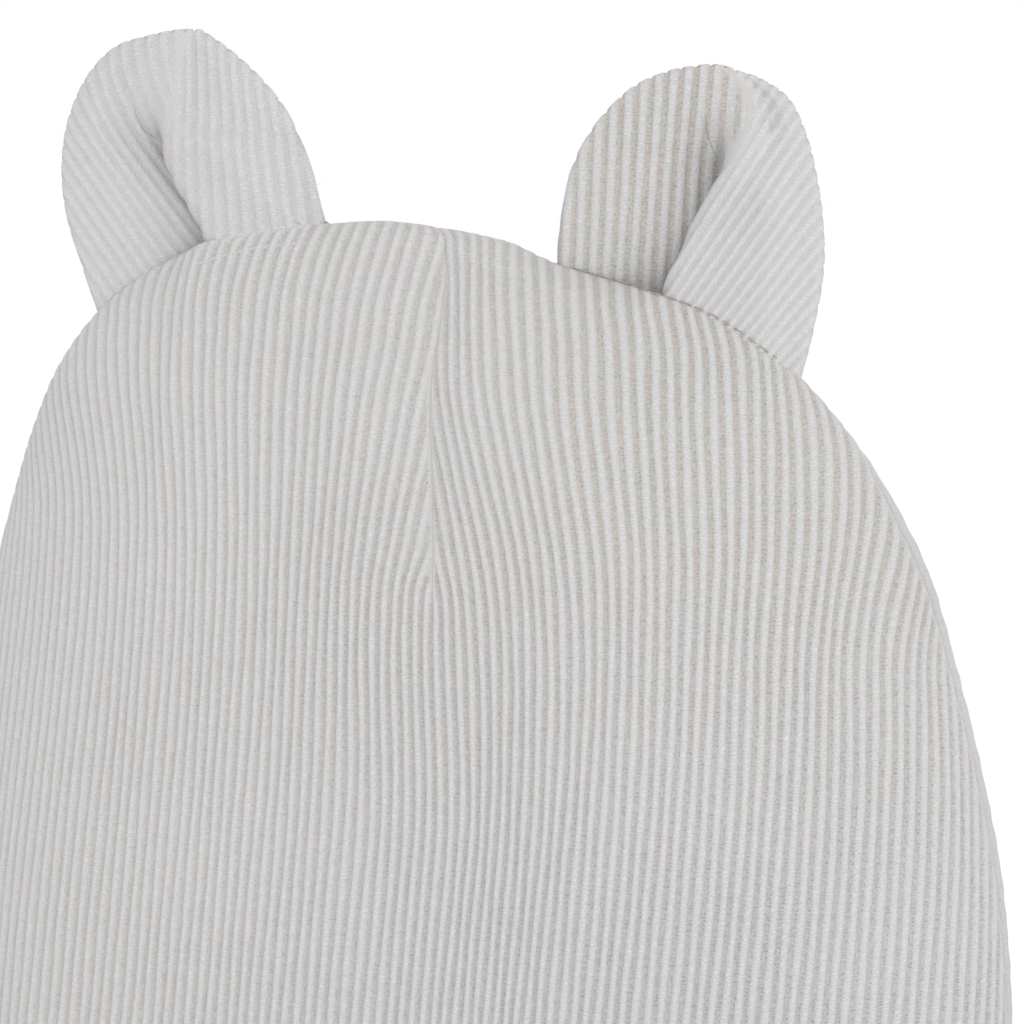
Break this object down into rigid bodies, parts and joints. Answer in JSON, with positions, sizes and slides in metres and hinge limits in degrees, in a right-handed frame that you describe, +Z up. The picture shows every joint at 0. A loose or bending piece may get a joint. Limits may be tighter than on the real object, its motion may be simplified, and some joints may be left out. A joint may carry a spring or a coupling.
{
  "type": "baby hat with ears",
  "caption": "Soft rib-knit baby hat, open at the flat rim, domed at the crown seam, with a dart down the front and a folded bear ear at each side of the crown.",
  "frame": {"origin": "centre of the hat's outline at the height of the flat rim that it stands on", "axes": "+Z up from the rim to the ears, the front panel with the clear dart faces -Y, +X to the viewer's right along the crown seam"},
  "size_m": [0.151, 0.0598, 0.1687],
  "materials": {
    "front_panel_knit": "cream cotton rib knit, matt",
    "back_panel_knit": "cream cotton rib knit, matt",
    "left_ear_front_knit": "cream cotton rib knit, matt",
    "left_ear_back_knit": "cream cotton rib knit, matt",
    "right_ear_front_knit": "cream cotton rib knit, matt",
    "right_ear_back_knit": "cream cotton rib knit, matt"
  },
  "bodies": {
    "root": {"front_panel": "front_panel_knit", "back_panel": "back_panel_knit", "left_ear_front": "left_ear_front_knit", "left_ear_back": "left_ear_back_knit", "right_ear_front": "right_ear_front_knit", "right_ear_back": "right_ear_back_knit"}
  },
  "joints": []
}
